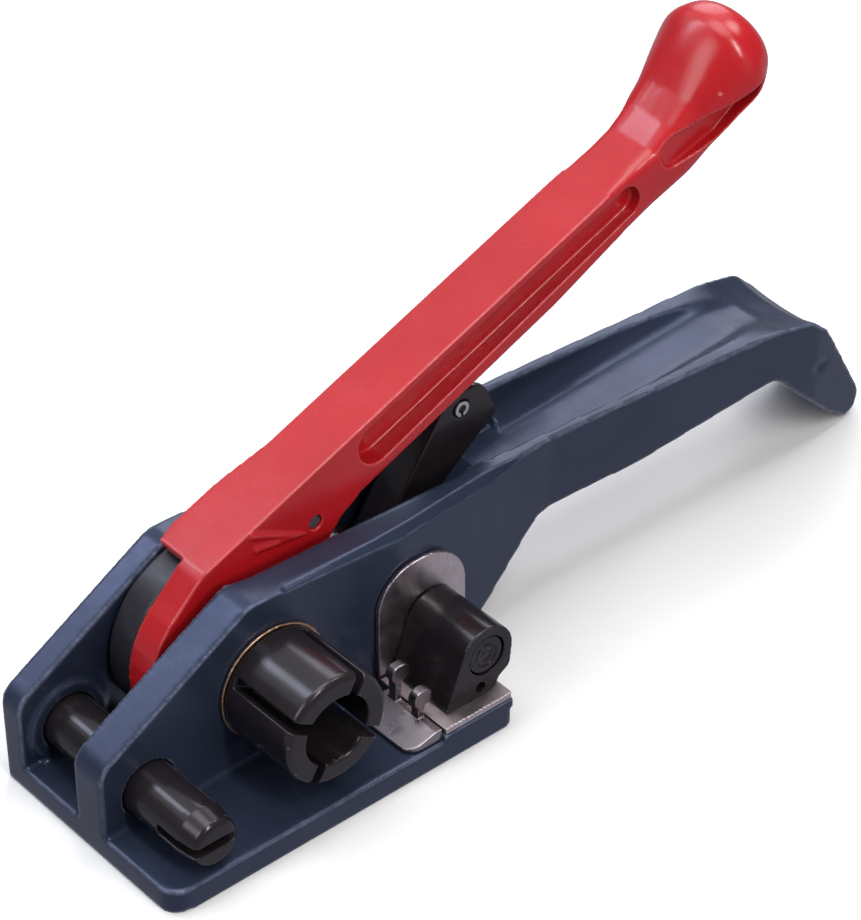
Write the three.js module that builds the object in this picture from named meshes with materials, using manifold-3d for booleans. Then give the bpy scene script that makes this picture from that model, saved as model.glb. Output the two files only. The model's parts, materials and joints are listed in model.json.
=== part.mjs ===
// Manual strapping tensioner: a cast body with a fixed handle, a ratcheting
// lever handle, a slotted windlass and a sprung strap gripper.
// Millimetres. X runs to the rear, Y away from the strap side, Z up. The origin
// is on the underside, below the windlass axis, in the strap side's cheek face.
import * as THREE from 'three';
import { mergeVertices } from 'three/addons/utils/BufferGeometryUtils.js';
import Module from 'manifold-3d';

const wasm = await Module();
wasm.setup();

// ---------- driving dimensions ----------
const GAP = 0.3;                       // clearance between separate pieces
const FRONT = -57;                     // front edge of the base
const BASE_REAR = 61;                  // rear edge of the strap ledge
const LEDGE = 29.4;                    // ledge depth in front of the near cheek
const BASE_TOP = 7.5;
const CHEEK_IN = 12;                   // inner face of the near cheek
const FAR_IN = 36.6;                   // inner face of the far cheek
const FAR_OUT = 45;                    // outer face of the far cheek
const MID = (CHEEK_IN + FAR_IN) / 2;   // middle plane of the gap

const AXIS_Z = 31.6;                   // windlass and lever axis, at X 0
const DRUM_R = 17;
const DRUM_END = -28.2;
const DRUM_BORE = 10.5;
const JOURNAL_R = 12;
const SHAFT_R = 9;
const FAR_JOURNAL_R = 8;

const GUIDE = { x: -41.7, z: 17.2, r: 8.2, end: -29.2 };
const GRIP = { x: 55.5, z: 24.3, r: 6, end: -24.5 };
const HOLD = { x: 41.5, z: 39.5, r: 2.5 };
const SEAT_TOP = 11.3;                 // strap seat under the gripper
const PAD_TOP = 9.3;                   // cast pad that carries the seat

const TEETH = 24;
const WHEEL_R = 27;
const WHEEL_ROOT = 24.6;
const TOOTH_ANGLE = 17.4;              // where one steep tooth face stands, degrees
const WHEEL_NEAR = 19.6;
const WHEEL_FAR = 24.8;
const FLANGE_R = 28;                   // smooth flange beside the ratchet wheel
const FLANGE_FAR = 35.4;
const COVER_R = 29.3;                  // lever's guard over the ratchet teeth
const COVER_FAR = 24.4;

const LEVER_ANGLE = 21.9;              // lever handle above horizontal, degrees
const LEVER_NEAR = MID - 9.6;
const LEVER_FAR = MID + 9.6;
const LEVER_WALL = 4.5;
const LEVER_TOP = 32.4;                // top face above the windlass axis
const HUB_R = 15.5;
const PAWL_PIN = { u: 37.3, w: 16.7, r: 1.9 };
const ROLLER = { x: 83.8, z: 70.4, r: 7 };
const PAWL_NEAR = LEVER_NEAR + LEVER_WALL + 0.4;
const PAWL_FAR = COVER_FAR - 0.2;
const DRIVE_LIFT = 7.4;                // how far each pawl is swung off the teeth, degrees
const HOLD_LIFT = 8.6;

// ---------- looks ----------
function look(color, roughness, metalness) {
  return new THREE.MeshStandardMaterial({ color, roughness, metalness });
}
const navyPaint = look(0x2c3547, 0.42, 0.2);
const redPaint = look(0xb5303a, 0.3, 0.1);
const blackSteel = look(0x1c1a1d, 0.35, 0.7);
const greySteel = look(0x45454c, 0.5, 0.7);
const brightSteel = look(0xb9b2b4, 0.35, 0.9);
const bronze = look(0xa07a62, 0.35, 0.9);
const springSteel = look(0x80797a, 0.4, 0.9);

// ---------- solids ----------
// A closed geometry as a solid. Triangles with no area are dropped.
function solid(geometry) {
  const bare = geometry.clone();
  bare.deleteAttribute('normal');
  bare.deleteAttribute('uv');
  const merged = mergeVertices(bare, 1e-4);
  const index = merged.index.array;
  const triangles = [];
  for (let i = 0; i < index.length; i += 3) {
    const [a, b, c] = [index[i], index[i + 1], index[i + 2]];
    if (a !== b && b !== c && c !== a) triangles.push(a, b, c);
  }
  const vertProperties = Float32Array.from(merged.attributes.position.array);
  const triVerts = Uint32Array.from(triangles);
  return new wasm.Manifold(new wasm.Mesh({ numProp: 3, vertProperties, triVerts }));
}

const join = (...solids) => solids.reduce((a, b) => a.add(b));
const cut = (body, ...tools) => tools.reduce((a, b) => a.subtract(b), body);

// A closed outline from corners [x, y, radius], with the round corners as arcs.
function outline(corners, steps = 5) {
  const points = [];
  corners.forEach(([x, y, radius = 0], i) => {
    const here = new THREE.Vector2(x, y);
    if (radius === 0) {
      points.push(here);
      return;
    }
    const [px, py] = corners.at(i - 1);
    const [nx, ny] = corners[(i + 1) % corners.length];
    const back = new THREE.Vector2(px - x, py - y).normalize();
    const ahead = new THREE.Vector2(nx - x, ny - y).normalize();
    const half = Math.acos(back.dot(ahead)) / 2;
    const centre = back.clone().add(ahead).normalize().multiplyScalar(radius / Math.sin(half)).add(here);
    const start = back.clone().multiplyScalar(radius / Math.tan(half)).add(here).sub(centre);
    const end = ahead.clone().multiplyScalar(radius / Math.tan(half)).add(here).sub(centre);
    const turn = Math.atan2(start.cross(end), start.dot(end));
    for (let k = 0; k <= steps; k++) {
      points.push(start.clone().rotateAround(new THREE.Vector2(), turn * k / steps).add(centre));
    }
  });
  return new THREE.Shape(points);
}

// A point at a radius and an angle in degrees.
function polar(r, degrees) {
  const angle = THREE.MathUtils.degToRad(degrees);
  return new THREE.Vector2(r * Math.cos(angle), r * Math.sin(angle));
}

function extrude(shape, depth) {
  return new THREE.ExtrudeGeometry(shape, { depth, bevelEnabled: false, steps: 1 });
}

// An (X, Z) shape from Y y0 to y1.
function alongY(shape, y0, y1) {
  return solid(extrude(shape, y1 - y0).rotateX(Math.PI / 2).translate(0, y1, 0));
}

// An (X, Y) shape from Z z0 to z1.
function alongZ(shape, z0, z1) {
  return solid(extrude(shape, z1 - z0).translate(0, 0, z0));
}

// A (Y, Z) shape from X x0 to x1.
function alongX(shape, x0, x1) {
  const turned = new THREE.Matrix4().makeBasis(
    new THREE.Vector3(0, 1, 0), new THREE.Vector3(0, 0, 1), new THREE.Vector3(1, 0, 0));
  return solid(extrude(shape, x1 - x0).applyMatrix4(turned).translate(x0, 0, 0));
}

function block(x0, x1, y0, y1, z0, z1) {
  const box = new THREE.BoxGeometry(x1 - x0, y1 - y0, z1 - z0);
  return solid(box.translate((x0 + x1) / 2, (y0 + y1) / 2, (z0 + z1) / 2));
}

// A round bar or hole along Y.
function rod(r, y0, y1, x = 0, z = 0, sides = 32) {
  return solid(new THREE.CylinderGeometry(r, r, y1 - y0, sides).translate(x, (y0 + y1) / 2, z));
}

// A body of revolution about Y, from a profile of [radius, y] with y rising.
function turned(profile, x = 0, z = 0, sides = 32) {
  const points = profile.map(([r, y]) => new THREE.Vector2(r, y));
  return solid(new THREE.LatheGeometry(points, sides).translate(x, 0, z));
}

function ring(inner, outer, y0, y1, x = 0, z = 0, sides = 32) {
  return cut(rod(outer, y0, y1, x, z, sides), rod(inner, y0 - 1, y1 + 1, x, z, sides));
}

// A hexagon socket in a face that looks along +Y.
function hexSocket(r, y0, y1, x, z) {
  return rod(r, y0, y1, x, z, 6);
}

const model = new THREE.Group();
model.name = 'strapping_tensioner';

function piece(parent, name, body, material) {
  const raw = body.getMesh();
  const geometry = new THREE.BufferGeometry();
  geometry.setAttribute('position', new THREE.BufferAttribute(raw.vertProperties, 3));
  geometry.setIndex(new THREE.BufferAttribute(raw.triVerts, 1));
  geometry.computeVertexNormals();
  const mesh = new THREE.Mesh(geometry, material);
  mesh.name = name;
  parent.add(mesh);
}

// ---------- cast body ----------
const sideOutline = outline([
  [FRONT, 0], [FRONT, 29.4, 7], [-6, 59.2, 9], [60, 57], [140, 53], [200, 49.6], [214, 46.6, 8],
  [221, 40.3], [241.5, 6, 5], [236, -0.8, 4.5], [224, 8, 6], [206.5, 24.5], [199.4, 32.3, 9], [144, 29.1],
  [103, 30.2, 10], [72, 3], [68, 0],
]);

function bodyBlank() {
  const plan = outline([
    [FRONT, 0, 1], [45, 0, 30], [108, MID - 16.5, 30], [216, MID - 17.3, 5], [245, MID - 13, 8],
    [245, MID + 13, 8], [216, MID + 17.3, 5], [108, MID + 16.5, 30], [45, FAR_OUT, 30], [FRONT, FAR_OUT, 1],
  ]);
  const base = outline([
    [FRONT, -LEDGE, 6], [BASE_REAR, -LEDGE, 2], [BASE_REAR, 1], [68, 1],
    [68, FAR_OUT - 1], [FRONT, FAR_OUT - 1],
  ]);
  return join(
    alongY(sideOutline, 0, FAR_OUT).intersect(alongZ(plan, -2, 80)),
    alongZ(base, 0, BASE_TOP),
    block(36.4, BASE_REAR, -LEDGE, 0.5, 6, PAD_TOP),
  );
}

// The space between the cheeks, the slot under the ratchet wheel and the
// scoop in the top of the fixed handle.
function bodyHollows() {
  const floor = { x: 95, z: 41.4, rise: 4.1 };
  const between = outline([
    [FRONT - 1, BASE_TOP], [64, BASE_TOP, 4], [floor.x, floor.z], [110, 42.5], [110, 70], [FRONT - 1, 70],
  ]);
  const scoop = outline([[MID - 13, 30], [MID - 13, 0, 8], [MID + 13, 0, 8], [MID + 13, 30]]);
  const scoopBody = alongX(scoop, -7, 135).rotate([0, -floor.rise, 0]).translate([floor.x, 0, floor.z]);
  return join(
    alongY(between, CHEEK_IN, FAR_IN),
    block(-21, 21, CHEEK_IN, FAR_IN, -1, BASE_TOP + 1),
    scoopBody,
  );
}

function bodyCasting() {
  const boss = join(
    rod(12.5, FAR_IN - 1.4, FAR_IN + 1, GUIDE.x, GUIDE.z),
    rod(15, FAR_IN - 0.7, FAR_IN + 1, 0, AXIS_Z),
  );
  const blank = join(cut(bodyBlank(), bodyHollows()), boss.intersect(alongY(sideOutline, 30, 40)));
  const platePocket = alongY(outline([[35.6, 5], [35.6, 46.6, 14], [70, 46.6, 16], [70, 5]]), -1, 1.2);
  const seatPocket = block(39.7, 57.3, -24.3, -5.7, 4, 12);
  const screwHoles = [44.5, 52.5].map((x) => join(
    solid(new THREE.CylinderGeometry(2.3, 2.3, 10, 16).rotateX(Math.PI / 2).translate(x, -15, 3)),
    solid(new THREE.CylinderGeometry(2.3, 4.4, 2.1, 20).rotateX(Math.PI / 2).translate(x, -15, 0.95)),
  ));
  return cut(
    blank,
    rod(15.3, -1, CHEEK_IN + 1, 0, AXIS_Z),
    rod(11.3, FAR_IN - 2, FAR_OUT + 1, 0, AXIS_Z),
    rod(GUIDE.r + GAP, -1, CHEEK_IN + 1, GUIDE.x, GUIDE.z),
    rod(GUIDE.r - 1.2, FAR_IN - 2, FAR_OUT + 1, GUIDE.x, GUIDE.z),
    rod(GUIDE.r + GAP, FAR_IN - 2, FAR_IN + 3, GUIDE.x, GUIDE.z),
    rod(8.6, -1, CHEEK_IN + 1, GRIP.x, GRIP.z),
    rod(8.6, FAR_IN - 1, FAR_OUT + 1, GRIP.x, GRIP.z),
    rod(HOLD.r + GAP, 5, FAR_OUT + 1, HOLD.x, HOLD.z, 16),
    platePocket,
    seatPocket,
    ...screwHoles,
  );
}

// ---------- guide pin at the front ----------
function guidePin() {
  const tip = GUIDE.end;
  const body = turned([
    [0, tip], [6.4, tip], [7.2, tip + 1], [GUIDE.r, tip + 8], [GUIDE.r, FAR_IN + 2.7],
    [GUIDE.r - 1.5, FAR_IN + 2.7], [GUIDE.r - 1.5, FAR_OUT - GAP], [0, FAR_OUT - GAP],
  ], GUIDE.x, GUIDE.z);
  return cut(
    body,
    block(GUIDE.x - 12, GUIDE.x + 12, tip - 1, tip + 15, GUIDE.z - 1.5, GUIDE.z + 1.5),
    rod(3.3, FAR_OUT - 16, FAR_OUT + 1, GUIDE.x, GUIDE.z, 16),
  );
}

function guidePinBolt() {
  const head = FAR_OUT + 1.8;
  const body = turned([
    [0, FAR_OUT - 13], [2.9, FAR_OUT - 13], [2.9, head], [5, head],
    [5, head + 3.4], [4.4, head + 4], [0, head + 4],
  ], GUIDE.x, GUIDE.z, 24);
  return cut(body, hexSocket(2.6, head + 1.4, head + 5, GUIDE.x, GUIDE.z));
}

// ---------- windlass ----------
function windlassSpindle() {
  const body = turned([
    [0, DRUM_END], [DRUM_R - 1.4, DRUM_END], [DRUM_R, DRUM_END + 1.4], [DRUM_R, -1.6],
    [JOURNAL_R, -1.6], [JOURNAL_R, CHEEK_IN + 2.2], [SHAFT_R, CHEEK_IN + 2.2], [SHAFT_R, FAR_IN - 1],
    [FAR_JOURNAL_R, FAR_IN - 1], [FAR_JOURNAL_R, 45.6], [FAR_JOURNAL_R - 1, 45.6],
    [FAR_JOURNAL_R - 1, 46.8], [FAR_JOURNAL_R, 46.8], [FAR_JOURNAL_R - 0.8, 48.2], [0, 48.2],
  ], 0, 0, 48);
  const slot = block(-DRUM_R - 1, DRUM_R + 1, DRUM_END - 1, -3.4, -1.7, 1.7);
  const slots = [-59, 31].map((angle) => slot.rotate([0, angle, 0]));
  const keyway = block(-1.8, 1.8, WHEEL_NEAR, FLANGE_FAR, -10, -6.6);
  return cut(body, rod(DRUM_BORE, DRUM_END - 1, -4.4), ...slots, keyway);
}

// Shallow saw teeth: each rises along the rim and drops on its forward side,
// where the face leans back by as much as a pawl's tip does when it swings in.
function ratchetOutline() {
  const points = [];
  const pitch = 360 / TEETH;
  for (let i = 0; i < TEETH; i++) {
    const drop = TOOTH_ANGLE + pitch * i;
    points.push(
      polar(WHEEL_R, drop - pitch * 0.2), polar(WHEEL_R, drop - pitch * 0.13),
      polar(WHEEL_ROOT, drop), polar(WHEEL_ROOT, drop + pitch * 0.28),
    );
  }
  return new THREE.Shape(points);
}

// The bore and keyway that a wheel on the spindle needs.
function keyedBore() {
  return join(
    rod(SHAFT_R + GAP, WHEEL_NEAR - 1, FLANGE_FAR + 1),
    block(-1.8, 1.8, WHEEL_NEAR - 1, FLANGE_FAR + 1, -10.9, -8),
  );
}

function ratchetWheel() {
  return cut(alongY(ratchetOutline(), WHEEL_NEAR, WHEEL_FAR), keyedBore());
}

function windlassFlange() {
  const near = WHEEL_FAR + GAP;
  const body = turned([
    [0, near], [FLANGE_R, near], [FLANGE_R, FLANGE_FAR - 0.8], [FLANGE_R - 0.8, FLANGE_FAR],
    [FLANGE_R - 5, FLANGE_FAR], [FLANGE_R - 6, FLANGE_FAR - 3], [14, FLANGE_FAR - 3],
    [13, FLANGE_FAR], [0, FLANGE_FAR],
  ], 0, 0, 64);
  return cut(body, keyedBore());
}

// Open spring ring that sits in the groove at the end of a shaft.
function snapRing(inner, outer, y0, y1) {
  return cut(ring(inner, outer, y0, y1), block(-1.6, 1.6, y0 - 1, y1 + 1, -outer - 1, -1));
}

// ---------- lever handle, in its own frame: u along it, w up from it ----------
// Head plate with the hub around the spindle and a rounded nose at the front.
function leverHead() {
  const corners = [];
  for (let angle = 166; angle >= 106; angle -= 10) corners.push(polar(COVER_R, angle).toArray());
  corners.push([2, LEVER_TOP, 12], [40, LEVER_TOP], [52, LEVER_TOP], [52, 12.6], [45, 11.3, 3], [28, 2, 8]);
  for (let angle = -60; angle >= -160; angle -= 20) corners.push(polar(HUB_R, angle).toArray());
  corners.push([-22, -1, 4]);
  return outline(corners);
}

function leverShaft() {
  const lower = [[45, 11.3, 3], [52, 13.1], [130, 14.4], [158, 16.8]];
  const front = [[31, 11.3, 2], [31, 28.9], [3, 28.9]];
  return outline([[3, LEVER_TOP], [158, LEVER_TOP], ...lower.reverse(), ...front]);
}

// The grip at the end: a rounded box section that swells, widens and curves up above the shaft.
function leverKnob() {
  const start = 150;
  const profile = [
    [0, 0], [8.1, 0], [8.1, 14], [8.5, 26], [9.5, 34], [10.7, 42], [12.9, 50], [13.9, 54.5],
    [14.5, 58.4], [14.5, 60.5], [14, 62.8], [12.3, 66.6], [10.5, 69], [7.8, 70.8], [4.2, 72.1], [0, 72.7],
  ];
  const points = profile.map(([r, along]) => new THREE.Vector2(r, along));
  const knob = new THREE.LatheGeometry(points, 32).rotateZ(-Math.PI / 2).rotateX(Math.PI / 2);
  const position = knob.attributes.position;
  for (let i = 0; i < position.count; i++) {
    const [along, across, up] = [position.getX(i), position.getY(i), position.getZ(i)];
    const radius = Math.hypot(across, up);
    const power = 2 / (8 - 6 * THREE.MathUtils.smoothstep(along, 0, 55));
    const widening = 1.18 + 0.09 * THREE.MathUtils.smoothstep(along, 10, 40);
    const share = (part) => (Math.abs(part) < 1e-6 ? 0 : Math.abs(part) / radius);
    const square = (part) => Math.sign(part) * radius * share(part) ** power;
    const middle = 24.3 + 12.6 * THREE.MathUtils.smoothstep(along, 23, 71);
    position.setXYZ(i, along, square(across) * widening, square(up) + middle);
  }
  return solid(knob.translate(start, MID, 0));
}

// Both sides of the lever mirror each other, so a recess is cut in each.
function bothSides(recess) {
  return join(recess, recess.translate([0, -MID, 0]).mirror([0, 1, 0]).translate([0, MID, 0]));
}

// A long deep recess with round ends leaves a web between two flanges. Its floor tapers outward to the rear.
function shaftRecess() {
  const face = outline([[57, 16.6, 6.2], [167, 20.2, 4.5], [167, 30, 4.5], [57, 30, 6.2]], 5);
  return alongY(face, -10, LEVER_NEAR + 7.8).rotate([0, 0, -1.35]);
}

function knobRecess() {
  const face = outline([[177, 24.8, 3], [196, 23.4], [209, 26, 5], [215, 33.4, 1], [177, 33.4, 3]], 4);
  return alongY(face, -10, 14.8);
}

function leverHandle() {
  const wallIn = LEVER_NEAR + LEVER_WALL;
  const body = join(
    alongY(leverShaft(), LEVER_NEAR, LEVER_FAR),
    alongY(leverHead(), LEVER_NEAR, COVER_FAR),
    leverKnob(),
  );
  return cut(
    body,
    rod(SHAFT_R + GAP, LEVER_NEAR - 1, wallIn + 1),
    rod(WHEEL_R + 0.6, wallIn, COVER_FAR + 1, 0, 0, 48),
    block(-40, 24, wallIn, COVER_FAR + 1, -40, -5),
    block(20, 50, wallIn, LEVER_FAR - LEVER_WALL, -10, LEVER_TOP - 4),
    rod(PAWL_PIN.r + GAP, LEVER_NEAR - 1, LEVER_FAR + 1, PAWL_PIN.u, PAWL_PIN.w, 16),
    bothSides(shaftRecess()),
    bothSides(knobRecess()),
  );
}

// ---------- pawls ----------
// A pawl from its pin to a wedge tip that stands just off the ratchet teeth.
function pawl(pin, tip, bossR, y0, y1) {
  const along = new THREE.Vector2(tip.x - pin.x, tip.y - pin.y);
  const length = along.length();
  const angle = along.angle();
  const wedge = outline([
    [0, -bossR], [length - 6, -1.5, 3], [length, -0.5], [length, 0.6], [length - 7, 3.1, 3], [0, bossR],
  ]);
  const body = join(
    alongY(wedge, y0, y1).rotate([0, -THREE.MathUtils.radToDeg(angle), 0]),
    rod(bossR, y0, y1, 0, 0, 24),
  );
  return cut(body, rod(pin.r + GAP, y0 - 1, y1 + 1, 0, 0, 16)).translate([pin.x, 0, pin.y]);
}

// The tip of a pawl swung clear of the wheel: engaged point, turned about the pin.
function liftedTip(pin, rimAngle, lift) {
  const engaged = polar(WHEEL_ROOT + 0.7, rimAngle);
  return engaged.rotateAround(new THREE.Vector2(pin.x, pin.y), THREE.MathUtils.degToRad(lift));
}

// ---------- a wire coil about Y with a straight leg at each end ----------
class SpringPath extends THREE.Curve {
  constructor(radius, pitch, turns, start) {
    super();
    Object.assign(this, { radius, pitch, turns, start });
  }

  getPoint(t, target = new THREE.Vector3()) {
    const angle = this.start + 2 * Math.PI * this.turns * t;
    const rise = this.pitch * this.turns * t;
    return target.set(this.radius * Math.cos(angle), rise, this.radius * Math.sin(angle));
  }
}

function coilSpring(radius, wire, pitch, turns, start, steps) {
  const section = new THREE.Shape(new THREE.EllipseCurve(0, 0, wire, wire).getPoints(8).slice(0, 8));
  const extrudePath = new SpringPath(radius, pitch, turns, start);
  return solid(new THREE.ExtrudeGeometry(section, { steps, bevelEnabled: false, extrudePath }));
}

// ---------- gripper and release lever ----------
function gripperCam() {
  const face = outline([
    [GRIP.x - 14.7, SEAT_TOP + GAP, 0.6], [GRIP.x + 3, SEAT_TOP + GAP, 1], [GRIP.x + 4.5, 14.6, 1.5],
    [GRIP.x + 8.4, 17, 3], [GRIP.x + 9.2, GRIP.z], [GRIP.x, GRIP.z], [GRIP.x - 8.9, GRIP.z + 2.4],
  ]);
  return cut(
    join(alongY(face, GRIP.end, -1), rod(9.2, GRIP.end, -1, GRIP.x, GRIP.z)),
    rod(GRIP.r + GAP, GRIP.end - 1, 0, GRIP.x, GRIP.z),
    rod(1.3, GRIP.end - 1, GRIP.end + 3, GRIP.x - 2.2, 14.2, 12),
    crossHole(-13).trimByPlane([0, 0, -1], -GRIP.z),
  );
}

// A small upright pin through the gripper shaft, and the hole it sits in. The cam's hole opens at its foot.
function uprightPin(r, y, length) {
  const pin = new THREE.CylinderGeometry(r, r, length, 12).rotateX(Math.PI / 2);
  return solid(pin.translate(GRIP.x, y, GRIP.z));
}

function crossPin(y, length) {
  return uprightPin(1.5, y, length);
}

function crossHole(y) {
  return uprightPin(1.5 + GAP, y, 30);
}

function gripperShaft() {
  const body = turned([
    [0, GRIP.end + 0.4], [GRIP.r, GRIP.end + 0.4], [GRIP.r, 45.6], [GRIP.r - 0.9, 45.6],
    [GRIP.r - 0.9, 46.8], [GRIP.r, 46.8], [GRIP.r - 0.7, 48], [0, 48],
  ], GRIP.x, GRIP.z);
  return cut(body, crossHole(-13), crossHole(25), rod(2, GRIP.end, GRIP.end + 2.4, GRIP.x, GRIP.z, 12));
}

const FORK = { y0: 18.8, y1: 30, gapNear: 20.9, gapFar: 27.9 };

function releaseLever() {
  const arm = outline([
    [GRIP.x - 9.5, GRIP.z + 3], [72, 65, 7], [79, 75.8, 6], [92, 75.8, 6], [97.3, 63.6, 3],
    [77.6, 48.4], [66, 33, 6], [GRIP.x + 5, GRIP.z - 8],
  ]);
  return cut(
    join(alongY(arm, FORK.y0, FORK.y1), rod(10, FORK.y0 - 0.6, FORK.y1 + 3.4, GRIP.x, GRIP.z)),
    rod(GRIP.r + GAP, 10, 40, GRIP.x, GRIP.z),
    crossHole(25),
    rod(ROLLER.r + 1.6, FORK.gapNear, FORK.gapFar, ROLLER.x, ROLLER.z, 24),
    block(ROLLER.x - 20, ROLLER.x + 20, FORK.gapNear, FORK.gapFar, ROLLER.z - 2, ROLLER.z + 12),
    rod(2.5 + GAP, FORK.y0 - 1, FORK.y1 + 1, ROLLER.x, ROLLER.z, 16),
  );
}

function rollerPin() {
  const tube = ring(1.3, 2.5, FORK.y0 - 0.6, FORK.y1 + 0.6, ROLLER.x, ROLLER.z, 16);
  return cut(tube, block(ROLLER.x - 0.4, ROLLER.x + 0.4, 0, 50, ROLLER.z - 4, ROLLER.z - 0.5));
}

// ---------- steel strap guide and seat ----------
// Ramp in front of the seat, with two upright prongs whose heads lean back.
function strapGuide() {
  const ramp = outline([
    [24.4, BASE_TOP + GAP], [36.1, BASE_TOP + GAP], [36.1, SEAT_TOP], [34, SEAT_TOP], [24.4, BASE_TOP + 1.2],
  ]);
  const prong = (top) => outline([
    [34, SEAT_TOP - 1], [36.1, SEAT_TOP - 1], [36.5, top - 5], [39, top - 5, 1.4], [39.4, top, 2.2],
    [33, top, 2.2], [33, top - 4, 1.2], [34, top - 5],
  ], 3);
  const plan = outline([[24, -LEDGE + 1.2, 5], [37, -LEDGE + 1.2], [37, -5.4], [24, -5.4]]);
  return join(
    alongY(ramp, -LEDGE + 1, -5).intersect(alongZ(plan, 0, 30)),
    alongY(prong(22.6), -11, -8),
    alongY(prong(19.8), -20.6, -17.6),
  );
}

function gripperSeat() {
  const [near, far, rear] = [-LEDGE + 0.2, -1.2, BASE_REAR - 0.2];
  const plan = outline([[36.7, near], [rear, near, 1], [rear, far], [36.7, far]]);
  const blind = [44.5, 52.5].map((x) =>
    solid(new THREE.CylinderGeometry(2.1, 2.1, 6, 16).rotateX(Math.PI / 2).translate(x, -15, 6.9)));
  return cut(join(alongZ(plan, PAD_TOP + GAP, SEAT_TOP), block(40, 57, -24, -6, 4.3, 10)), ...blind);
}

function seatScrew(x) {
  const profile = [[0, -9.3], [1.8, -9.3], [1.8, -2.2], [3.9, -0.3], [0, -0.3]];
  const points = profile.map(([r, depth]) => new THREE.Vector2(r, depth));
  const body = solid(new THREE.LatheGeometry(points, 16).rotateX(-Math.PI / 2).translate(x, -15, 0));
  return cut(body, block(x - 3, x + 3, -15.5, -14.5, -1, 1.1));
}

// ---------- assembly ----------
const windlass = new THREE.Group();
windlass.position.z = AXIS_Z;
const lever = new THREE.Group();
lever.position.z = AXIS_Z;
lever.rotation.y = THREE.MathUtils.degToRad(-LEVER_ANGLE);
const nearSpring = new THREE.Group();
nearSpring.position.set(GRIP.x, 0, GRIP.z);
model.add(windlass, lever, nearSpring);

piece(model, 'body_casting', bodyCasting(), navyPaint);
piece(model, 'front_guide_pin', guidePin(), blackSteel);
piece(model, 'guide_pin_bolt', guidePinBolt(), greySteel);
piece(model, 'guide_pin_washer', ring(
  3.2, 8.5, FAR_OUT + GAP, FAR_OUT + 1.5, GUIDE.x, GUIDE.z, 24,
), brightSteel);

piece(windlass, 'windlass_spindle', windlassSpindle(), blackSteel);
piece(windlass, 'ratchet_wheel', ratchetWheel(), greySteel);
piece(windlass, 'windlass_flange', windlassFlange(), greySteel);
piece(windlass, 'ratchet_key', block(
  -1.5, 1.5, WHEEL_NEAR + GAP, FLANGE_FAR - GAP, -10.6, -6.9,
), greySteel);
piece(windlass, 'windlass_near_bush', join(
  ring(JOURNAL_R + 0.2, 15, -0.4, CHEEK_IN - 0.2),
  ring(JOURNAL_R + 0.2, DRUM_R + 0.7, -1.3, -GAP),
), bronze);
piece(windlass, 'windlass_far_bush', ring(FAR_JOURNAL_R + 0.2, 11, FAR_IN + 0.2, FAR_OUT), bronze);
piece(windlass, 'near_thrust_washer', ring(JOURNAL_R + GAP, 15, CHEEK_IN + GAP, CHEEK_IN + 2), brightSteel);
piece(windlass, 'windlass_snap_ring', snapRing(FAR_JOURNAL_R - 0.8, 10.4, 45.8, 46.6), springSteel);

piece(lever, 'lever_handle', leverHandle(), redPaint);
const drivePin = { x: PAWL_PIN.u, y: PAWL_PIN.w, r: PAWL_PIN.r };
const driveTip = liftedTip(drivePin, -3.4, DRIVE_LIFT);
piece(lever, 'drive_pawl', pawl(drivePin, driveTip, 4.4, PAWL_NEAR, PAWL_FAR), greySteel);
piece(lever, 'drive_pawl_spacer', ring(
  PAWL_PIN.r + GAP, 3.6, PAWL_FAR + GAP, LEVER_FAR - LEVER_WALL - GAP, PAWL_PIN.u, PAWL_PIN.w, 20,
), brightSteel);
piece(lever, 'drive_pawl_pin', rod(
  PAWL_PIN.r, LEVER_NEAR + 0.8, LEVER_FAR - 0.8, PAWL_PIN.u, PAWL_PIN.w, 16,
), greySteel);

const holdPin = { x: HOLD.x, y: HOLD.z - AXIS_Z, r: HOLD.r };
const holdTip = liftedTip(holdPin, -11.3, HOLD_LIFT);
piece(windlass, 'holding_pawl', pawl(holdPin, holdTip, 5, PAWL_NEAR, PAWL_FAR), greySteel);
piece(model, 'holding_pawl_near_spacer', ring(
  HOLD.r + GAP, 4.4, CHEEK_IN + GAP, PAWL_NEAR - GAP, HOLD.x, HOLD.z, 20,
), brightSteel);
piece(model, 'holding_pawl_far_spacer', ring(
  HOLD.r + GAP, 4.4, PAWL_FAR + GAP, FAR_IN - GAP, HOLD.x, HOLD.z, 20,
), brightSteel);
piece(model, 'holding_pawl_pin', rod(HOLD.r, 5.5, FAR_OUT - 0.5, HOLD.x, HOLD.z, 16), greySteel);

piece(model, 'gripper_shaft', gripperShaft(), blackSteel);
piece(model, 'gripper_cam', gripperCam(), blackSteel);
const gripperRing = snapRing(GRIP.r - 0.7, 8.2, 45.8, 46.6).translate([GRIP.x, 0, GRIP.z]);
piece(model, 'gripper_snap_ring', gripperRing, springSteel);
piece(model, 'gripper_cross_pin', crossPin(-13, 13.6).translate([0, 0, -1.5]), greySteel);
piece(model, 'gripper_near_bush', ring(GRIP.r + 0.2, 8.3, 1.6, CHEEK_IN, GRIP.x, GRIP.z), bronze);
piece(model, 'gripper_far_bush', ring(GRIP.r + 0.2, 8.3, FAR_IN, FAR_OUT, GRIP.x, GRIP.z), bronze);
piece(model, 'release_lever', releaseLever(), blackSteel);
piece(model, 'lever_cross_pin', crossPin(25, 18), greySteel);
piece(model, 'release_roller', ring(
  2.5 + GAP, ROLLER.r, FORK.gapNear + GAP, FORK.gapFar - GAP, ROLLER.x, ROLLER.z,
), greySteel);
piece(model, 'release_roller_pin', rollerPin(), brightSteel);
const returnSpring = coilSpring(8.1, 0.8, 1.8, 1.9, 0.6, 44).translate([0, 13.2, 0]);
piece(nearSpring, 'gripper_return_spring', returnSpring, springSteel);

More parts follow.
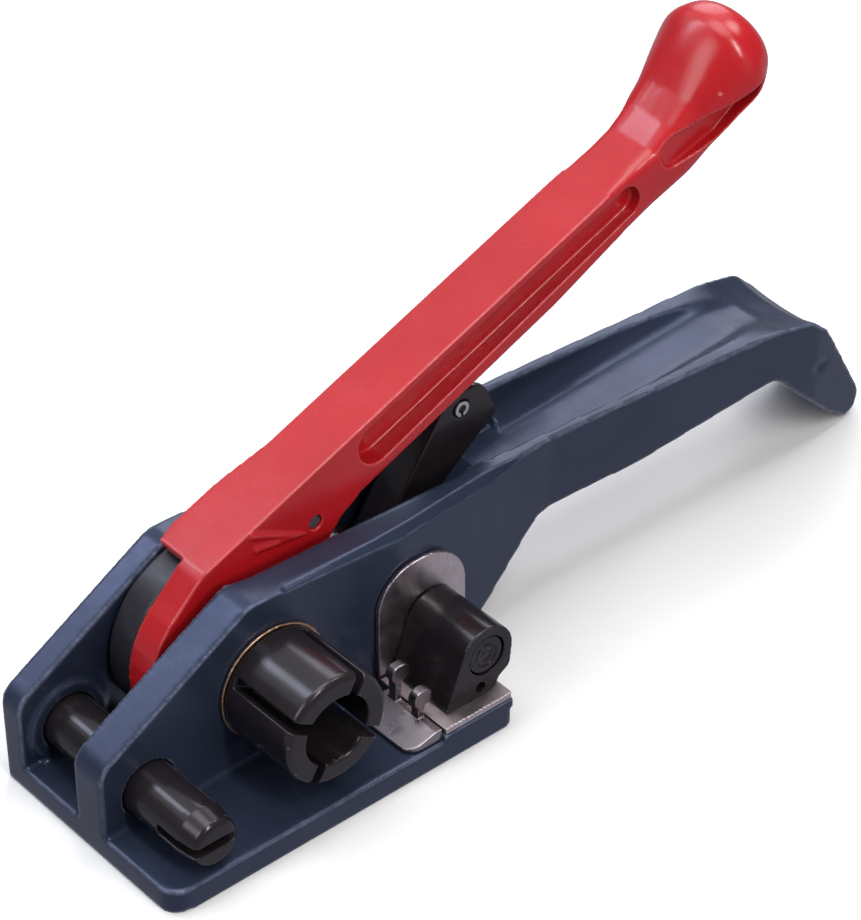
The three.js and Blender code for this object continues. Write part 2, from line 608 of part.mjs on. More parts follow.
const sidePlate = outline([
  [37, PAD_TOP + 0.4], [37, 45.2, 13], [68.6, 45.2, 15], [68.6, PAD_TOP + 0.4],
], 8);
piece(model, 'gripper_side_plate', cut(
  alongY(sidePlate, -0.6, 0.9),
  rod(8.6, -2, 2, GRIP.x, GRIP.z),
), brightSteel);
piece(model, 'gripper_seat', gripperSeat(), brightSteel);
piece(model, 'strap_guide', strapGuide(), brightSteel);
piece(model, 'seat_screw_front', seatScrew(44.5), greySteel);
piece(model, 'seat_screw_rear', seatScrew(52.5), greySteel);

export default model;
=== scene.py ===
"""Looks for a hand strapping tensioner: cast body, ratcheting lever, slotted windlass and strap gripper."""

import json
import math

import bmesh
import bpy
import numpy as np
from mathutils import Matrix, Vector


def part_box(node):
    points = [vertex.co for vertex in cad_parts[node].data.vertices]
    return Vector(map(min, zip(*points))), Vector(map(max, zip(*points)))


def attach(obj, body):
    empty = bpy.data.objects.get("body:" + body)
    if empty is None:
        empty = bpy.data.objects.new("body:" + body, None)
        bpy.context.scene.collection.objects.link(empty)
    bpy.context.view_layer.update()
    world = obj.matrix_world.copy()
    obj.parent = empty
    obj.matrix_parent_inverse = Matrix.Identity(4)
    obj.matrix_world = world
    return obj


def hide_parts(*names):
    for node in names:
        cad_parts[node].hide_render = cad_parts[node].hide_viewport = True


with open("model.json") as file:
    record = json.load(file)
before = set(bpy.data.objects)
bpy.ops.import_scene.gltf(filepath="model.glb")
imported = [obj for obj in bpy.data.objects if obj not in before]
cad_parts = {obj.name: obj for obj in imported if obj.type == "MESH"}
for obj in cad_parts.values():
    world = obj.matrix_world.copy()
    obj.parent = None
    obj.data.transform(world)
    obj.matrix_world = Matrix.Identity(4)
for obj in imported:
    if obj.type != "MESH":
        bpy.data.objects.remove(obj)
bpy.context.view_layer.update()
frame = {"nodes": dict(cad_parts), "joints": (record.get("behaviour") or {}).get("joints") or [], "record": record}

MM = 0.001
joints = {joint["name"]: joint for joint in frame["joints"]}
slots = {part["node"]: part["material_slot"] for part in frame["record"]["subparts"]}
bodies = {node: body for body, nodes in frame["record"]["behaviour"]["bodies"].items() for node in nodes}


def span(node):
    """The lowest and highest corner of a CAD node, in millimetres."""
    low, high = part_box(node)
    return Vector(low) / MM, Vector(high) / MM


def joint_place(name):
    """A joint's position, in millimetres."""
    return Vector(joints[name]["pos_m"]) / MM


# ---------- places and driving dimensions, in millimetres ----------
AXIS = joint_place("windlass_turn")
GRIP = joint_place("gripper_open")
DRUM_LOW, DRUM_HIGH = span("windlass_spindle")
PIN_LOW, PIN_HIGH = span("front_guide_pin")
CAM_LOW, CAM_HIGH = span("gripper_cam")
LEVER_ANGLE = math.radians(21.9)
MIDDLE = 24.3
LEVER_HALF = 9.6
LEVER_NEAR = MIDDLE - LEVER_HALF
NEAR_CHEEK = 12
HANDLE_HALF = 17.3


# ---------- mesh tools ----------
def mesh_object(name, points, faces):
    """A mesh object from points in millimetres."""
    mesh = bpy.data.meshes.new(name)
    mesh.from_pydata([Vector(p) * MM for p in points], [], faces)
    obj = bpy.data.objects.new(name, mesh)
    bpy.context.scene.collection.objects.link(obj)
    return obj


def cad_copy(node, name):
    """A welded copy of a CAD node's mesh in a new object."""
    mesh = frame["nodes"][node].data.copy()
    shape = bmesh.new()
    shape.from_mesh(mesh)
    bmesh.ops.remove_doubles(shape, verts=shape.verts, dist=1e-6)
    shape.to_mesh(mesh)
    shape.free()
    mesh.name = name
    mesh.materials.clear()
    obj = bpy.data.objects.new(name, mesh)
    bpy.context.scene.collection.objects.link(obj)
    return obj


def rounded(corners, steps=8):
    """Outline points from corners (x, y, radius), with the round corners as arcs."""
    points = []
    for i, corner in enumerate(corners):
        here = Vector(corner[:2])
        radius = corner[2] if len(corner) > 2 else 0
        if radius == 0:
            points.append(here)
            continue
        back = (Vector(corners[i - 1][:2]) - here).normalized()
        ahead = (Vector(corners[(i + 1) % len(corners)][:2]) - here).normalized()
        half = math.acos(max(-1, min(1, back.dot(ahead)))) / 2
        centre = here + (back + ahead).normalized() * (radius / math.sin(half))
        start = here + back * (radius / math.tan(half)) - centre
        end = here + ahead * (radius / math.tan(half)) - centre
        turn = math.atan2(start.cross(end), start.dot(end))
        for k in range(steps + 1):
            points.append(centre + Matrix.Rotation(turn * k / steps, 2) @ start)
    return points


def prism(outline, y0, y1, name="tool"):
    """A solid with an (X, Z) outline from y0 to y1."""
    count = len(outline)
    points = [(p[0], y0, p[1]) for p in outline] + [(p[0], y1, p[1]) for p in outline]
    sides = [(i, (i + 1) % count, count + (i + 1) % count, count + i) for i in range(count)]
    caps = [tuple(range(count))[::-1], tuple(range(count, 2 * count))]
    return outward(mesh_object(name, points, sides + caps))


def lathe(profile, x, z, steps=96, name="tool"):
    """A body of revolution about Y from (radius, y) points that start and end on the axis."""
    points = []
    faces = []
    rings = []
    for radius, y in profile:
        if radius == 0:
            rings.append([len(points)])
            points.append((x, y, z))
            continue
        rings.append(list(range(len(points), len(points) + steps)))
        for k in range(steps):
            angle = 2 * math.pi * k / steps
            points.append((x + radius * math.cos(angle), y, z + radius * math.sin(angle)))
    for low, high in zip(rings, rings[1:]):
        for k in range(steps):
            n = k + 1
            quad = [low[k % len(low)], low[n % len(low)], high[n % len(high)], high[k % len(high)]]
            faces.append(tuple(dict.fromkeys(quad)))
    return outward(mesh_object(name, points, faces))


def rod(radius, y0, y1, x, z, steps=48):
    return lathe([(0, y0), (radius, y0), (radius, y1), (0, y1)], x, z, steps)


def block(low, high):
    outline = [(low[0], low[2]), (high[0], low[2]), (high[0], high[2]), (low[0], high[2])]
    return prism(outline, low[1], high[1])


def outward(obj):
    shape = bmesh.new()
    shape.from_mesh(obj.data)
    bmesh.ops.recalc_face_normals(shape, faces=shape.faces)
    shape.to_mesh(obj.data)
    shape.free()
    return obj


def turn(obj, angle, pivot):
    """Turns the mesh about the Y direction through a point, in millimetres."""
    centre = Vector(pivot) * MM
    move = Matrix.Translation(centre) @ Matrix.Rotation(angle, 4, "Y") @ Matrix.Translation(-centre)
    obj.data.transform(move)
    return obj


def bake_modifiers(obj):
    """Applies the object's modifiers to its mesh."""
    graph = bpy.context.evaluated_depsgraph_get()
    graph.update()
    mesh = bpy.data.meshes.new_from_object(obj.evaluated_get(graph), depsgraph=graph)
    old = obj.data
    obj.modifiers.clear()
    obj.data = mesh
    bpy.data.meshes.remove(old)
    return obj


def combine(obj, tools, operation):
    for tool in tools:
        modifier = obj.modifiers.new("combine", "BOOLEAN")
        modifier.operation = operation
        modifier.solver = "MANIFOLD"
        modifier.object = tool
    bake_modifiers(obj)
    for tool in tools:
        bpy.data.objects.remove(tool)
    return obj


def cut(obj, *tools):
    return combine(obj, tools, "DIFFERENCE")


def join(obj, *tools):
    return combine(obj, tools, "UNION")


def reskin(obj, voxel, rounds, reshape=None, settle=2):
    """Gives a solid an even skin with soft edges. reshape moves its points, in millimetres."""
    remesh = obj.modifiers.new("skin", "REMESH")
    remesh.mode = "VOXEL"
    remesh.voxel_size = voxel * MM
    soften(obj, rounds)
    bake_modifiers(obj)
    if reshape:
        points = np.zeros(len(obj.data.vertices) * 3)
        obj.data.vertices.foreach_get("co", points)
        points = points.reshape(-1, 3) / MM
        obj.data.vertices.foreach_set("co", (reshape(points) * MM).ravel())
        soften(obj, settle)
        bake_modifiers(obj)
    obj.data.shade_smooth()
    return obj


def soften(obj, rounds):
    smooth = obj.modifiers.new("soften", "SMOOTH")
    smooth.factor = 0.5
    smooth.iterations = rounds


def blend(obj, weight, rounds):
    """Smooths the skin where weight, a function of (x, y, z) in millimetres, is above zero."""
    points = np.zeros(len(obj.data.vertices) * 3)
    obj.data.vertices.foreach_get("co", points)
    weights = weight(*points.reshape(-1, 3).T / MM)
    group = obj.vertex_groups.new(name="blend")
    for i in np.nonzero(weights > 0.01)[0]:
        group.add([int(i)], float(weights[i]), "REPLACE")
    soften(obj, rounds)
    obj.modifiers["soften"].vertex_group = "blend"
    bake_modifiers(obj)
    obj.data.shade_smooth()


def smoothstep(low, high, value):
    t = np.clip((value - low) / (high - low), 0, 1)
    return t * t * (3 - 2 * t)


# ---------- materials ----------
def srgb(code):
    """A linear colour from a hexadecimal sRGB one."""
    values = [int(code[i:i + 2], 16) / 255 for i in (1, 3, 5)]
    return tuple(v / 12.92 if v <= 0.04045 else ((v + 0.055) / 1.055) ** 2.4 for v in values) + (1.0,)


class Graph:
    """A small helper that adds and links nodes in one material."""

    def __init__(self, name):
        self.material = bpy.data.materials.new(name)
        self.material.use_nodes = True
        self.tree = self.material.node_tree
        self.shader = self.tree.nodes["Principled BSDF"]
        self.place = self.node("ShaderNodeTexCoord").outputs["Object"]

    def node(self, kind, **values):
        made = self.tree.nodes.new(kind)
        for key, value in values.items():
            setattr(made, key, value)
        return made

    def link(self, output, socket):
        self.tree.links.new(output, socket)

    def noise(self, scale, detail=3.0, stretch=(1, 1, 1), rough=0.5):
        mapping = self.node("ShaderNodeMapping")
        mapping.inputs["Scale"].default_value = stretch
        self.link(self.place, mapping.inputs["Vector"])
        noise = self.node("ShaderNodeTexNoise")
        noise.inputs["Scale"].default_value = scale
        noise.inputs["Detail"].default_value = detail
        noise.inputs["Roughness"].default_value = rough
        self.link(mapping.outputs["Vector"], noise.inputs["Vector"])
        return noise.outputs["Fac"]

    def ramp(self, factor, low, high, start=0.0, end=1.0):
        """Maps a factor between start and end onto low to high, clamped."""
        made = self.node("ShaderNodeMapRange")
        for key, value in (("From Min", start), ("From Max", end), ("To Min", low), ("To Max", high)):
            made.inputs[key].default_value = value
        self.link(factor, made.inputs["Value"])
        return made.outputs["Result"]

    def maths(self, operation, a, b):
        made = self.node("ShaderNodeMath", operation=operation)
        for socket, value in zip(made.inputs, (a, b)):
            if isinstance(value, (int, float)):
                socket.default_value = value
            else:
                self.link(value, socket)
        return made.outputs[0]

    def mix(self, factor, a, b):
        made = self.node("ShaderNodeMix", data_type="RGBA")
        self.link(factor, made.inputs["Factor"])
        for socket, value in ((made.inputs["A"], a), (made.inputs["B"], b)):
            if isinstance(value, tuple):
                socket.default_value = value
            else:
                self.link(value, socket)
        return made.outputs["Result"]

    def edges(self, start, end):
        """Near 1 on outer edges and 0 on flats and in corners."""
        pointiness = self.node("ShaderNodeNewGeometry").outputs["Pointiness"]
        return self.ramp(pointiness, 0, 1, start, end)

    def bump(self, *layers):
        """Bump from (height, depth in millimetres) layers."""
        normal = None
        for height, depth in layers:
            made = self.node("ShaderNodeBump")
            made.inputs["Distance"].default_value = depth * MM
            self.link(height, made.inputs["Height"])
            if normal:
                self.link(normal, made.inputs["Normal"])
            normal = made.outputs["Normal"]
        self.link(normal, self.shader.inputs["Normal"])

    def set(self, **values):
        for key, value in values.items():
            socket = self.shader.inputs[key.replace("_", " ")]
            if isinstance(value, (int, float, tuple)):
                socket.default_value = value
            else:
                self.link(value, socket)
        return self.material


def enamel(name, base, shade, wear_and_highlight_colour, wear_and_highlight_strength, rough, sheen="#ffffff"):
    """Stove enamel on a casting: soft colour drift, orange peel, and convex edges lightened towards a pale colour
    that is partly wear and partly a painted highlight.
    """
    g = Graph(name)
    drift = g.ramp(g.noise(34, 4), 0, 1, 0.35, 0.65)
    colour = g.mix(drift, srgb(base), srgb(shade))
    # Painted highlight, partly wear: convex edges, in broken patches, are mixed towards a pale colour that stands
    # in for edge glints as well as worn paint.
    wear_and_highlight_patches = g.ramp(g.noise(240, 5, rough=0.7), 0.25, 1, 0.35, 0.7)
    wear_and_highlight = g.maths("MULTIPLY", g.maths("MULTIPLY", g.edges(0.515, 0.58), wear_and_highlight_patches), wear_and_highlight_strength)
    colour = g.mix(wear_and_highlight, colour, srgb(wear_and_highlight_colour))
    smears = g.ramp(g.noise(60, 5, rough=0.6), rough - 0.04, rough + 0.07, 0.35, 0.7)
    g.bump((g.noise(330, 2), 0.035), (g.noise(1300, 2), 0.012))
    return g.set(Base_Color=colour, Roughness=smears, IOR=1.52, Specular_Tint=srgb(sheen))


def oxide(name, base, light, rough, turned=False):
    """Blackened steel, with turning or grinding marks and rubbed edges."""
    g = Graph(name)
    stretch = (0.04, 1, 0.04) if turned else (1, 0.05, 1)
    marks = g.noise(2600, 3, stretch)
    drift = g.ramp(g.noise(90, 5, rough=0.65), 0, 1, 0.3, 0.72)
    colour = g.mix(drift, srgb(base), srgb(light))
    rubbed = g.maths("MULTIPLY", g.edges(0.53, 0.62), g.ramp(g.noise(300, 4), 0.2, 0.7, 0.35, 0.65))
    colour = g.mix(rubbed, colour, srgb("#7a7476"))
    roughness = g.ramp(marks, rough - 0.04, rough + 0.06, 0.3, 0.7)
    g.bump((marks, 0.0008), (g.noise(700, 3), 0.003))
    return g.set(Base_Color=colour, Roughness=roughness, Metallic=0.3)


def steel(name, base, light, rough, stretch, stain="#6a5750", stained=0.25):
    """Bare steel with brushed marks in one direction, fine scratches and a little staining."""
    g = Graph(name)
    brush = g.noise(2200, 4, stretch)
    colour = g.mix(g.ramp(brush, 0, 1, 0.3, 0.7), srgb(base), srgb(light))
    patches = g.ramp(g.noise(120, 5, rough=0.7), 0, stained, 0.5, 0.7)
    colour = g.mix(patches, colour, srgb(stain))
    roughness = g.ramp(g.noise(150, 5, rough=0.6), rough - 0.08, rough + 0.12, 0.3, 0.7)
    g.bump((brush, 0.003), (g.noise(900, 4, rough=0.7), 0.006))
    return g.set(Base_Color=colour, Roughness=roughness, Metallic=1.0)


finishes = {
    # The third colour and the number after it set the pale edge colour and its strength: partly worn paint, partly
    # painted edge highlights.
    "body_paint": enamel("body_paint", "#293142", "#232a3a", "#b8c2de", 0.55, 0.28, "#c4d0ff"),
    "lever_paint": enamel("lever_paint", "#b5181f", "#aa161c", "#f6a8aa", 0.45, 0.25),
    "black_steel": oxide("black_steel", "#221e21", "#2c272b", 0.19, turned=True),
    "grey_steel": oxide("grey_steel", "#25232a", "#333139", 0.34),
    "bright_steel": steel("bright_steel", "#c3b6b8", "#d6cacc", 0.34, (1, 1, 0.2), stained=0.15),
    "zinc_steel": steel("zinc_steel", "#9da0a3", "#c0c2c4", 0.28, (0.3, 1, 0.3), "#7d7a72"),
    "spring_steel": steel("spring_steel", "#c4bfbd", "#e6e2e0", 0.34, (1, 0.1, 1), stained=0.1),
    "bronze": steel("bronze", "#c29676", "#ecc9ae", 0.33, (0.3, 1, 0.3), "#7d5640", 0.3),
}


def finish_piece(piece, node, finish=None):
    """Puts a new piece in a CAD node's place, with its slot's finish or one of its own."""
    slot = slots[node]
    piece.name = node + "_detail"
    piece.data.name = piece.name
    piece.data.materials.clear()
    piece.data.materials.append(finish or finishes[slot])
    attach(piece, bodies[node])
    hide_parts(node)
    return piece


# ---------- cast body ----------
def cheek_top(x):
    """Height of the body's top line behind the bend."""
    return np.interp(x, (-6, 60, 140, 200), (59.2, 57, 53, 49.6))


def near_face(x):
    """Y of the body's strap side, which draws in towards the handle."""
    return np.interp(x, (38, 52, 108), (0, 0.9, 7.8))


def shape_body(points):
    """Bevels and rounds the near cheek's top, hollows the handle's rear edge and dents the hook."""
    x, y, z = points.T.copy()
    on_near = y < NEAR_CHEEK + 0.6
    inset = y - near_face(x)
    drop = cheek_top(x) - z
    strength = smoothstep(3, 7, x) * (1 - smoothstep(80, 104, x))
    across = 2.2 * strength + 1e-6
    down = (1.2 + 1.6 * smoothstep(10, 75, x)) * strength + 1e-6
    excess = 1 - inset / across - drop / down
    push = np.where(on_near & (excess > 0) & (strength > 0), excess, 0)
    scale = 1 / (1 / across**2 + 1 / down**2)
    y = y + push * scale / across
    z = z - push * scale / down
    radius = 3.0 * smoothstep(-12, 4, x) * (1 - smoothstep(74, 84, x)) + 1e-6
    a = radius - (NEAR_CHEEK - y)
    b = radius - (cheek_top(x) - z)
    distance = np.hypot(a, b)
    outside = on_near & (a > 0) & (b > 0) & (distance > radius) & (x > -4)
    ratio = np.where(outside, radius / np.maximum(distance, 1e-6), 1)
    y = np.where(outside, y - a * (1 - ratio), y)
    z = np.where(outside, z - b * (1 - ratio), z)
    hollow_depth = 2.8
    bow = np.clip(1 - ((y - MIDDLE) / HANDLE_HALF) ** 2, 0, 1)
    z = z - hollow_depth * bow * smoothstep(186, 206, x) * smoothstep(34, 44, z)
    dent_depth, dent_radius = 1.0, 1.7
    away = np.hypot((x - 218.5) / 1.6, z - 27.8)
    y = y + np.where(y < 20, dent_depth * np.exp(-(away / dent_radius) ** 2), 0)
    return np.stack([x, y, z], 1)


def scoop_end(x, y, z):
    """Weight of the rear end of the handle's scoop."""
    inside = 1 - smoothstep(12, 16, np.abs(y - MIDDLE))
    return smoothstep(176, 188, x) * (1 - smoothstep(206, 212, x)) * smoothstep(40, 43, z) * inside


def make_body():
    body = cad_copy("body_casting", "body")
    reskin(body, 0.7, 3, shape_body)
    blend(body, scoop_end, 40)
    return finish_piece(body, "body_casting")


# ---------- lever ----------
def lever_point(u, w):
    """Row (X, Z) of a point u along the lever and w above it."""
    c, s = math.cos(LEVER_ANGLE), math.sin(LEVER_ANGLE)
    return AXIS.x + u * c - w * s, AXIS.z + u * s + w * c


def lever_prism(corners, y0, y1):
    outline = [lever_point(*p) for p in rounded(corners)]
    return prism(outline, y0, y1)


def lever_slab(corners, w0, w1):
    """A plate from an outline of points (u along the lever, Y), between two heights over the lever's line."""
    outline = rounded(corners)
    count = len(outline)
    points = []
    for w in (w0, w1):
        for u, y in outline:
            x, z = lever_point(u, w)
            points.append((x, y, z))
    sides = [(i, (i + 1) % count, count + (i + 1) % count, count + i) for i in range(count)]
    caps = [tuple(range(count))[::-1], tuple(range(count, 2 * count))]
    return outward(mesh_object("slab", points, sides + caps))


def smooth_curve(points, count):
    """Catmull-Rom points through (a, b) stations."""
    stations = [Vector(p) for p in points]
    stations = [2 * stations[0] - stations[1]] + stations + [2 * stations[-1] - stations[-2]]
    curve = []
    for before, here, ahead, after in zip(stations, stations[1:], stations[2:], stations[3:]):
        for k in range(count):
            t = k / count
            linear = ahead - before
            square = 2 * before - 5 * here + 4 * ahead - after
            cube = 3 * here - before - 3 * ahead + after
            curve.append(0.5 * (2 * here + linear * t + square * t**2 + cube * t**3))
    curve.append(stations[-2])
    return curve


def make_grip():
    """The rounded box section that swells, widens and curves up at the lever's end."""
    start = 150
    rise = 12.6
    stations = [
        (8.1, 2), (8.1, 14), (8.5, 26), (9.5, 34), (10.7, 42), (12.9, 50), (13.9, 54.5), (14.5, 58.4),
        (14.5, 60.5), (14, 62.8), (12.3, 66.6), (10.5, 69), (7.8, 70.8), (4.2, 72.1), (0.4, 72.7),
    ]
    steps = 96
    points = []
    faces = []
    rings = smooth_curve(stations, 4)
    for radius, along in rings:
        power = 2 / (2 + 6 * (1 - smoothstep(0, 55, along)) + 10 * (1 - smoothstep(0, 22, along)))
        widening = 1.18 + 0.09 * smoothstep(10, 40, along)
        height = 24.3 + rise * smoothstep(23, 71, along)
        for k in range(steps):
            angle = 2 * math.pi * k / steps
            c, s = math.cos(angle), math.sin(angle)
            across = radius * widening * math.copysign(abs(c) ** power, c)
            x, z = lever_point(start + along, height + radius * math.copysign(abs(s) ** power, s))
            points.append((x, MIDDLE + across, z))
    for i in range(len(rings) - 1):
        for k in range(steps):
            n = (k + 1) % steps
            faces.append((i * steps + k, i * steps + n, (i + 1) * steps + n, (i + 1) * steps + k))
    faces.append(tuple(range(steps)))
    faces.append(tuple(range(len(points) - steps, len(points))))
    return outward(mesh_object("grip", points, faces))


def mirror_tool(corners, depth):
    """Tools for the same recess in both sides of the lever, up to a distance from its middle plane."""
    return lever_prism(corners, -10, MIDDLE - depth), lever_prism(corners, MIDDLE + depth, 60)


def grip_joint(x, y, z):
    """Weight of the top of the lever where its straight part runs into the grip."""
    c, s = math.cos(LEVER_ANGLE), math.sin(LEVER_ANGLE)
    along = (x - AXIS.x) * c + (z - AXIS.z) * s
    above = (z - AXIS.z) * c - (x - AXIS.x) * s
    return smoothstep(152, 158, along) * (1 - smoothstep(162, 172, along)) * smoothstep(29.5, 31.5, above)


def make_lever():
    lever = cad_copy("lever_handle", "lever")
    flare = [(3, 33), (3, 34.8), (8, 36, 5), (26, 36, 14), (44, 33.8), (44, 33)]
    recess = [(177, 24.8, 3), (196, 23.4), (209, 26, 5), (215, 33.4, 1), (177, 33.4, 3)]
    shaft_recess = [(130, 19), (167, 20.2, 4.5), (167, 30, 4.5), (130, 30)]
    ridge = [(19.8, 31.6), (33.2, 16.8), (18, 25.2), (18.6, 26.6), (28.8, 20.4), (18.8, 30.6)]
    grip = cut(make_grip(), *mirror_tool(recess, 9.5), *mirror_tool(shaft_recess, 5.4))
    join(lever, grip, lever_prism(ridge, LEVER_NEAR - 0.7, LEVER_NEAR + 1), lever_slab(flare, 28.5, 32.4))
    reskin(lever, 0.45, 5)
    blend(lever, grip_joint, 10)
    return finish_piece(lever, "lever_handle")


# ---------- windlass, pins ----------
def make_drum():
    end = DRUM_LOW.y
    radius = (DRUM_HIGH.z - DRUM_LOW.z) / 2
    back = -1.6
    slot_half = 1.6
    profile = [
        (0, end), (radius - 1.6, end), (radius - 0.9, end + 0.3), (radius - 0.2, end + 1),
        (radius, end + 1.8), (radius, back), (12, back), (12, 14.2), (9, 14.2), (9, 35.6), (8, 35.6),
        (8, 45.6), (7, 45.6), (7, 46.8), (8, 46.8), (7.2, DRUM_HIGH.y), (0, DRUM_HIGH.y),
    ]
    drum = lathe(profile, AXIS.x, AXIS.z, 128)
    bore_profile = [(0, end - 1), (11.3, end - 1), (10.5, end + 0.8), (10.5, -4.4), (0, -4.4)]
    bore = lathe(bore_profile, AXIS.x, AXIS.z, 96)
    tools = [bore]
    for angle in (-59, 31):
        slot = block((-radius - 1, end - 1, AXIS.z - slot_half), (radius + 1, -3.4, AXIS.z + slot_half))
        tools.append(turn(slot, math.radians(angle), (AXIS.x, 0, AXIS.z)))
    cut(drum, *tools)
    reskin(drum, 0.32, 3)
    return finish_piece(drum, "windlass_spindle")


def make_guide_pin():
    tip, end = PIN_LOW.y, PIN_HIGH.y
    middle = (PIN_LOW + PIN_HIGH) / 2
    radius = (PIN_HIGH.z - PIN_LOW.z) / 2
    profile = [
        (0, tip), (5.9, tip), (6.6, tip + 0.4), (7.2, tip + 1.2), (radius - 0.1, tip + 7), (radius, tip + 9),
        (radius, 39.3), (radius - 1.5, 39.3), (radius - 1.5, end), (0, end),
    ]
    pin = lathe(profile, middle.x, middle.z, 128)
    slot = block((middle.x - 12, tip - 1, middle.z - 1.5), (middle.x + 12, tip + 15, middle.z + 1.5))
    cut(pin, slot, rod(3.3, end - 16, end + 1, middle.x, middle.z))
    reskin(pin, 0.3, 3)
    return finish_piece(pin, "front_guide_pin")


def pin_hole(y, low):
    """Clearance for an upright pin through the gripper's shaft."""
    return block((GRIP.x - 1.7, y - 1.7, low), (GRIP.x + 1.7, y + 1.7, GRIP.z + 20))


def make_cam():
    cam = cad_copy("gripper_cam", "cam")
    near, far = CAM_LOW.y, CAM_HIGH.y
    join(cam, lathe([(0, near), (8.8, near), (9.22, near + 0.4), (9.22, far), (0, far)], GRIP.x, GRIP.z, 144))
    hollow = block((GRIP.x - 1.7, -14.7, CAM_LOW.z - 1), (GRIP.x + 1.7, -11.3, GRIP.z))
    bore = rod(6.3, near - 1, far + 1, GRIP.x, GRIP.z, 96)
    drilled = rod(1.7, near - 1, near + 3, GRIP.x - 2.2, 14.2)
    cut(cam, bore, drilled, hollow)
    reskin(cam, 0.25, 3)
    return finish_piece(cam, "gripper_cam")


def make_gripper_shaft():
    end = CAM_LOW.y
    profile = [
        (0, end + 0.6), (1.6, end + 0.9), (2.2, end + 0.5), (3.1, end + 0.4), (3.3, end + 0.9),
        (3.7, end + 0.9), (3.9, end + 0.4), (5.6, end + 0.4), (6, end + 0.8), (6, 45.6),
        (5.1, 45.6), (5.1, 46.8), (6, 46.8), (5.3, 48), (0, 48),
    ]
    shaft = lathe(profile, GRIP.x, GRIP.z, 96)
    cut(shaft, pin_hole(-13, GRIP.z - 9), pin_hole(25, GRIP.z - 20))
    reskin(shaft, 0.2, 2)
    return finish_piece(shaft, "gripper_shaft")


def make_flange():
    low, high = span("windlass_flange")
    near, far = low.y, high.y
    profile = [
        (0, near), (27.6, near), (28, near + 0.4), (28, far - 0.8), (27.2, far), (23, far), (22, far - 3),
        (14, far - 3), (13, far), (0, far),
    ]
    wheel = lathe(profile, AXIS.x, AXIS.z, 192)
    keyway = block((AXIS.x - 1.8, near - 1, AXIS.z - 10.9), (AXIS.x + 1.8, far + 1, AXIS.z - 8))
    cut(wheel, rod(9.3, near - 1, far + 1, AXIS.x, AXIS.z, 96), keyway)
    reskin(wheel, 0.4, 2)
    return finish_piece(wheel, "windlass_flange")


def make_seat():
    """The gripper's seat, with fine notches along its near edge."""
    low, high = span("gripper_seat")
    seat = cad_copy("gripper_seat", "seat")
    pitch = 1.5
    count = 14
    notches = []
    for i in range(count):
        x = low.x + 1.8 + pitch * i
        notches.append(block((x - 0.2, low.y - 1, high.z - 1.2), (x + 0.2, low.y + 0.35, high.z + 1)))
    cut(seat, *notches)
    reskin(seat, 0.16, 3)
    return finish_piece(seat, "gripper_seat")


def skin_copy(node, voxel, rounds, finish=None):
    """A CAD node's solid with an even skin and soft edges."""
    piece = cad_copy(node, node)
    reskin(piece, voxel, rounds)
    return finish_piece(piece, node, finish)


make_body()
make_lever()
make_drum()
make_guide_pin()
make_cam()
make_gripper_shaft()
make_flange()
make_seat()
skin_copy("release_lever", 0.4, 5)
skin_copy("strap_guide", 0.22, 4, steel("guide_steel", "#9a9194", "#aaa1a5", 0.3, (1, 1, 0.2), stained=0.04))
skin_copy("gripper_side_plate", 0.3, 2)
skin_copy("release_roller", 0.25, 3)
skin_copy("release_roller_pin", 0.12, 2)
skin_copy("windlass_near_bush", 0.25, 3)

for name, node in frame["nodes"].items():
    if not node.hide_render:
        node.data.materials.clear()
        node.data.materials.append(finishes[slots[name]])


# ---------- floor, lights and camera ----------
def make_floor():
    """A plain pale floor that bounces no light back onto the object."""
    reach = 4000
    corners = [(-reach, -reach, 0), (reach, -reach, 0), (reach, reach, 0), (-reach, reach, 0)]
    floor = mesh_object("floor", corners, [(0, 1, 2, 3)])
    g = Graph("floor")
    tone = g.mix(g.ramp(g.noise(3, 3), 0, 1, 0.3, 0.7), (0.86, 0.86, 0.85, 1), (0.89, 0.89, 0.88, 1))
    g.bump((g.noise(300, 3), 0.02))
    floor.data.materials.append(g.set(Base_Color=tone, Roughness=0.7))
    floor.visible_diffuse = False
    floor.visible_glossy = False


def soft_box(name, direction, distance, size, radiance, colour=(1, 1, 1), glossy=True):
    """An oval soft box aimed at the object, with its brightness as radiance."""
    target = Vector((0.07, 0.01, 0.05))
    light = bpy.data.lights.new(name, "AREA")
    light.shape = "ELLIPSE"
    light.size, light.size_y = size
    light.energy = radiance * math.pi * (math.pi / 4 * size[0] * size[1])
    light.color = colour
    obj = bpy.data.objects.new(name, light)
    way = Vector(direction).normalized()
    obj.location = target + way * distance
    obj.rotation_euler = way.to_track_quat("Z", "Y").to_euler()
    obj.visible_glossy = glossy
    bpy.context.scene.collection.objects.link(obj)


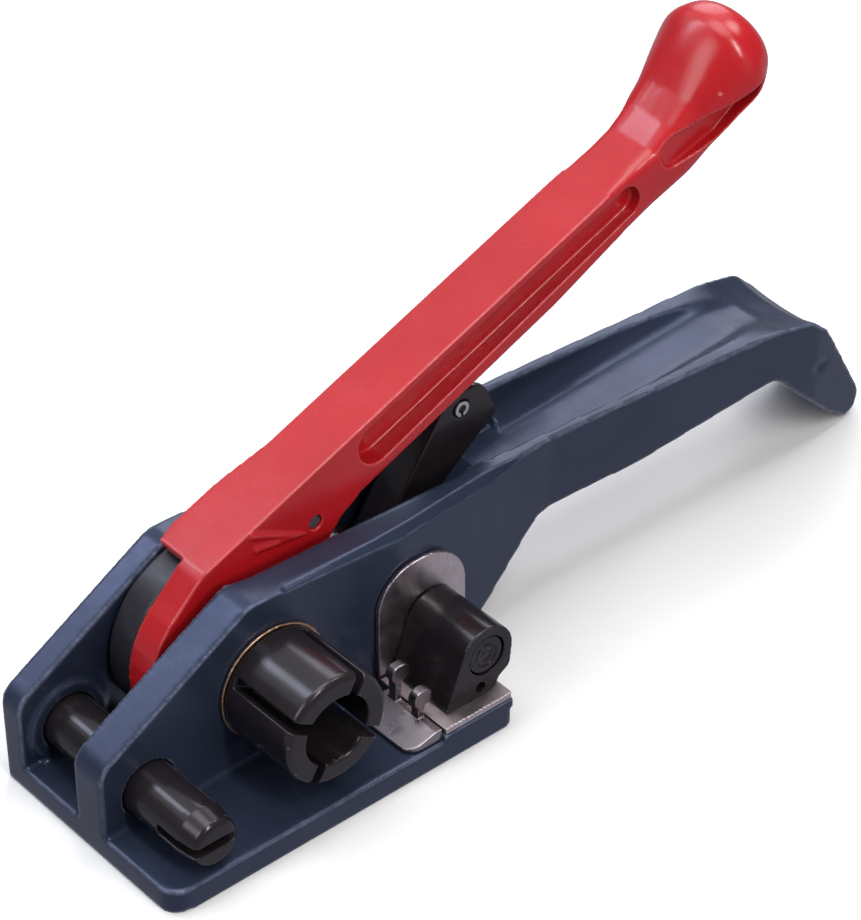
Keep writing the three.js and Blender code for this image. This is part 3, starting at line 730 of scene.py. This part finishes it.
def make_camera():
    azimuth, elevation, roll = (math.radians(v) for v in (-40.55, 36.92, -0.265))
    level = math.cos(elevation)
    back = Vector((math.sin(azimuth) * level, -math.cos(azimuth) * level, math.sin(elevation)))
    side = Vector((math.cos(azimuth), math.sin(azimuth), 0))
    up = back.cross(side)
    right = side * math.cos(roll) + up * math.sin(roll)
    upright = up * math.cos(roll) - side * math.sin(roll)
    data = bpy.data.cameras.new("camera")
    data.lens = 133.7
    data.clip_start = 0.01
    camera = bpy.data.objects.new("camera", data)
    camera.matrix_world = Matrix.Translation((-0.4196, -0.5564, 0.6269)) @ Matrix(
        (right, upright, back)).transposed().to_4x4()
    bpy.context.scene.collection.objects.link(camera)
    bpy.context.scene.camera = camera


def make_world():
    """Dim studio surroundings, with the lower half brighter in place of the floor's bounce."""
    world = bpy.data.worlds.new("studio")
    world.use_nodes = True
    background = world.node_tree.nodes["Background"]
    background.inputs["Color"].default_value = (0.88, 0.89, 1, 1)
    nodes = world.node_tree.nodes
    direction = nodes.new("ShaderNodeTexCoord")
    upward = nodes.new("ShaderNodeSeparateXYZ")
    strength = nodes.new("ShaderNodeMapRange")
    for key, value in (("From Min", -0.15), ("From Max", 0.05), ("To Min", 0.48), ("To Max", 0.22)):
        strength.inputs[key].default_value = value
    link = world.node_tree.links.new
    link(direction.outputs["Generated"], upward.inputs["Vector"])
    link(upward.outputs["Z"], strength.inputs["Value"])
    link(strength.outputs["Result"], background.inputs["Strength"])
    bpy.context.scene.world = world


make_floor()
make_camera()
make_world()
soft_box("panel", (-0.05, 0.55, 0.83), 1.25, (2.0, 1.5), 0.76, (0.96, 0.98, 1.02))
soft_box("key", (-0.32, 0.60, 0.72), 1.2, (0.2, 0.6), 6.4, (0.85, 0.95, 1.15))
soft_box("rear", (0.60, 0.60, 0.53), 1.3, (0.7, 0.8), 2.8, (0.96, 0.97, 1.05))
soft_box("edge", (0.50, 0.02, 0.86), 1.3, (0.42, 0.42), 6.5)
soft_box("overhead", (0.0, 0.12, 0.99), 1.3, (0.8, 0.8), 3.3)
soft_box("left", (-0.78, 0.12, 0.62), 1.4, (0.7, 0.7), 3.6)
soft_box("front", (-0.10, -0.55, 0.82), 1.5, (0.15, 0.85), 27)
soft_box("fill", (0.1, -0.92, 0.35), 1.4, (1.0, 0.8), 3.6, (1, 0.88, 0.78), glossy=False)

bpy.context.scene.view_settings.view_transform = "Standard"
